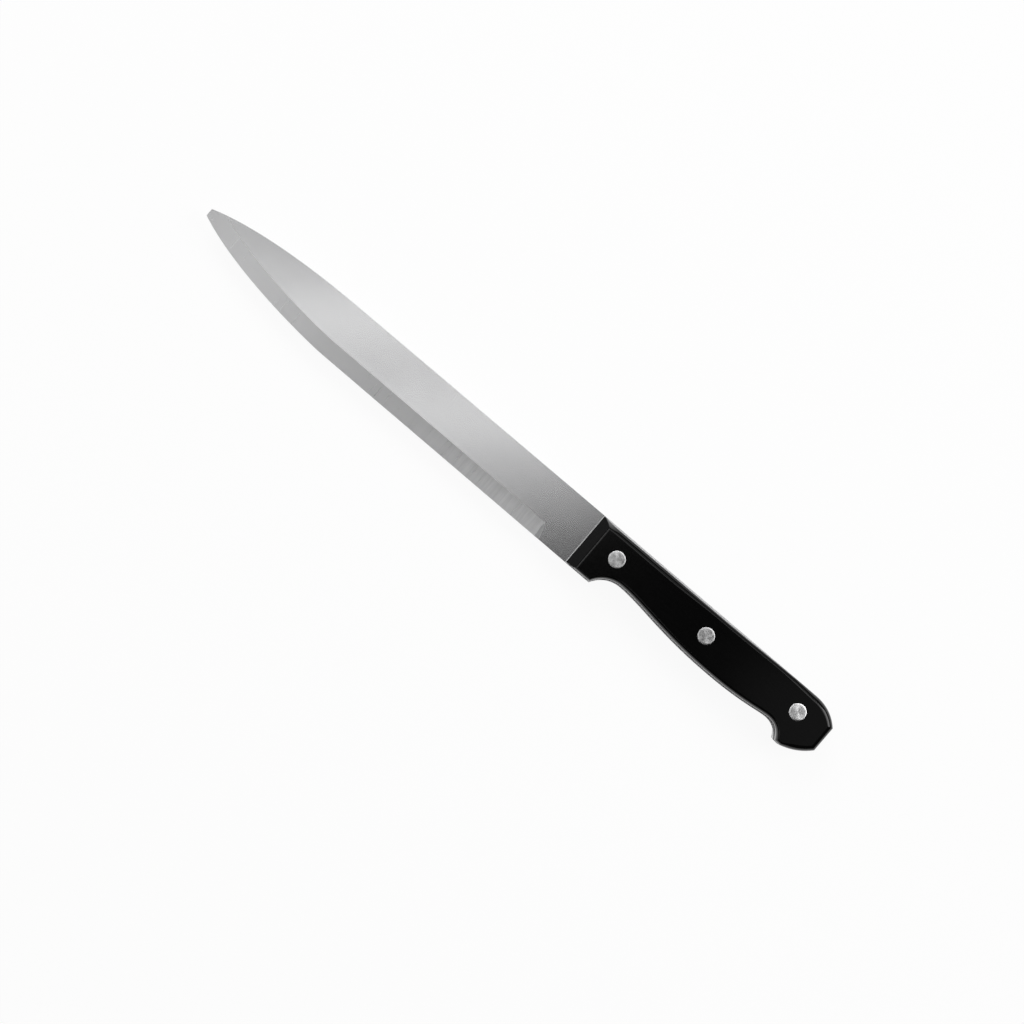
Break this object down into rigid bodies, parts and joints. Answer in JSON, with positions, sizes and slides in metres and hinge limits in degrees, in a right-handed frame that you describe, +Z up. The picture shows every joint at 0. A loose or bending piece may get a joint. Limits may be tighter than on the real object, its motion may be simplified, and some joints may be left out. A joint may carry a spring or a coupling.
{
  "type": "carving knife",
  "caption": "Carving knife with a long narrow blade ground along its edge, and a black riveted handle with a finger notch and a hooked pommel.",
  "frame": {"origin": "middle of the bounding box in plan, on the lowest plane, which is the outer face of the right-hand scale, with the knife lying on its side", "axes": "+X from the tip to the butt, +Y from the cutting edge to the spine, +Z up through the thickness to the left-hand side of the knife"},
  "size_m": [0.3228, 0.0248, 0.016],
  "materials": {
    "blade_steel": "fine ground steel with grinding lines square to the edge",
    "handle_plastic": "smooth moulded black plastic",
    "rivet_metal": "turned flat heads with fine rings"
  },
  "bodies": {
    "root": {"blade": "blade_steel", "scale_left": "handle_plastic", "scale_right": "handle_plastic", "rivet_front_female": "rivet_metal", "rivet_front_male": "rivet_metal", "rivet_middle_female": "rivet_metal", "rivet_middle_male": "rivet_metal", "rivet_rear_female": "rivet_metal", "rivet_rear_male": "rivet_metal"}
  },
  "joints": []
}
